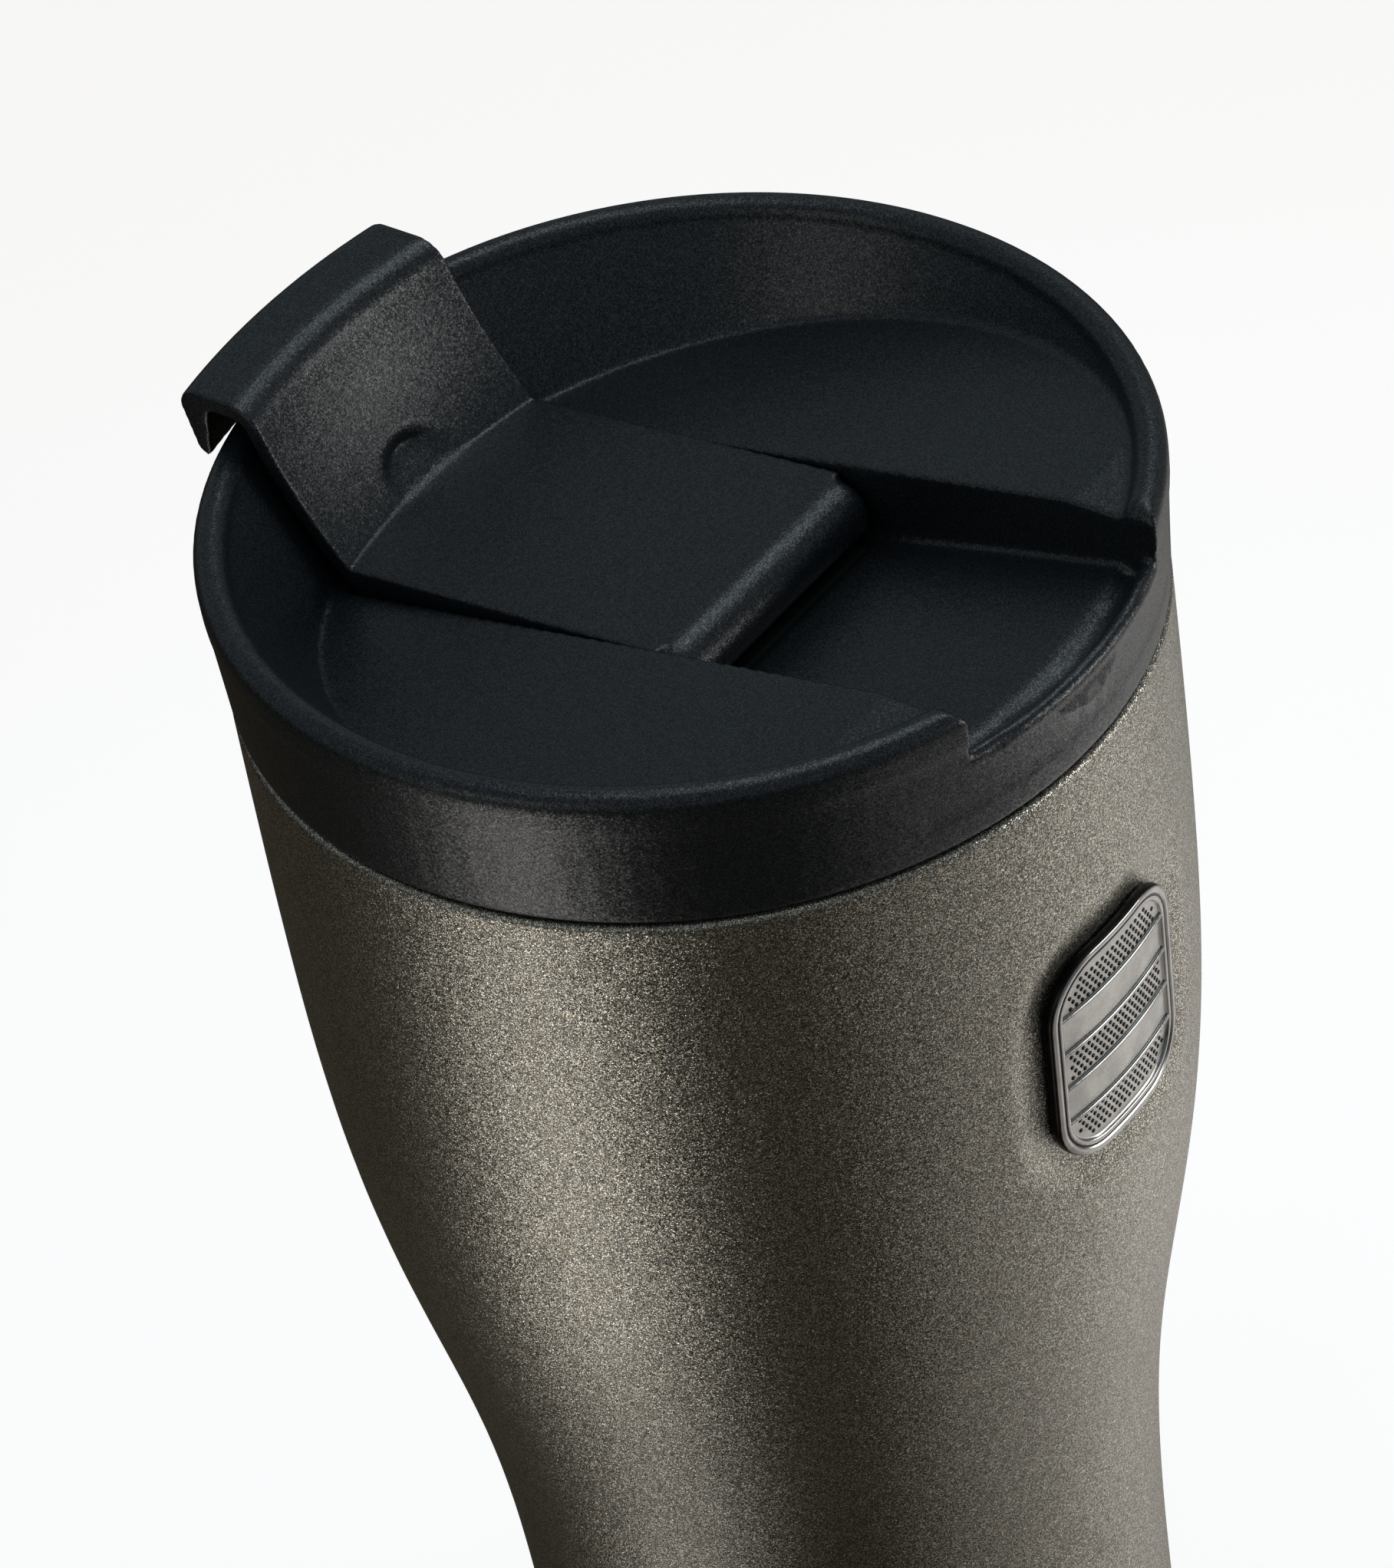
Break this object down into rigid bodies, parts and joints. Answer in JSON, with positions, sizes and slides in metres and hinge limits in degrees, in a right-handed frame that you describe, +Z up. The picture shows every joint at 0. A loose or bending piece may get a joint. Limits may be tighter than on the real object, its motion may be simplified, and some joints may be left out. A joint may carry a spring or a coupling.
{
  "type": "insulated travel mug",
  "caption": "Waisted double-walled travel mug with a push-in lid, a sloped drinking channel and a turn-over flap that shuts it.",
  "frame": {"origin": "middle of the foot's flat face, on the mug's axis", "axes": "+Z up the mug's axis; the drinking lip and the badge face -Y; the hinge axis is along X"},
  "size_m": [0.086, 0.0889, 0.1945],
  "materials": {
    "outer_shell": "fine metallic powder coat",
    "inner_liner": "satin stainless",
    "shell_base": "pressed stainless",
    "radiation_foil": "bright copper foil",
    "getter_clip": "plain",
    "getter": "sintered",
    "vacuum_seal_bead": "fused solder glass",
    "foot_pad": "matte silicone",
    "badge_tape": "foam tape",
    "badge": "polished frame, darker ground",
    "lid_shell": "fine-grained",
    "lid_plug": "plain moulded",
    "lid_gasket": "silicone",
    "spout_gasket": "silicone",
    "flap": "fine-grained"
  },
  "bodies": {
    "mug": {"outer_shell": "outer_shell", "inner_liner": "inner_liner", "shell_base": "shell_base", "radiation_foil": "radiation_foil", "getter_clip": "getter_clip", "getter": "getter", "vacuum_seal_bead": "vacuum_seal_bead", "foot_pad": "foot_pad", "badge_tape": "badge_tape", "badge": "badge"},
    "lid": {"lid_shell": "lid_shell", "lid_plug": "lid_plug", "lid_gasket": "lid_gasket", "spout_gasket": "spout_gasket"},
    "flap": {"flap": "flap"}
  },
  "joints": [
    {"name": "lid_lift", "type": "slide", "parent": "mug", "child": "lid", "axis": [0, 0, 1], "range_m": [0, 0.04]},
    {"name": "flap_turn", "type": "hinge", "parent": "lid", "child": "flap", "pos_m": [0, -0.0072, 0.1798], "axis": [1, 0, 0], "range_deg": [0, 170.9]}
  ]
}
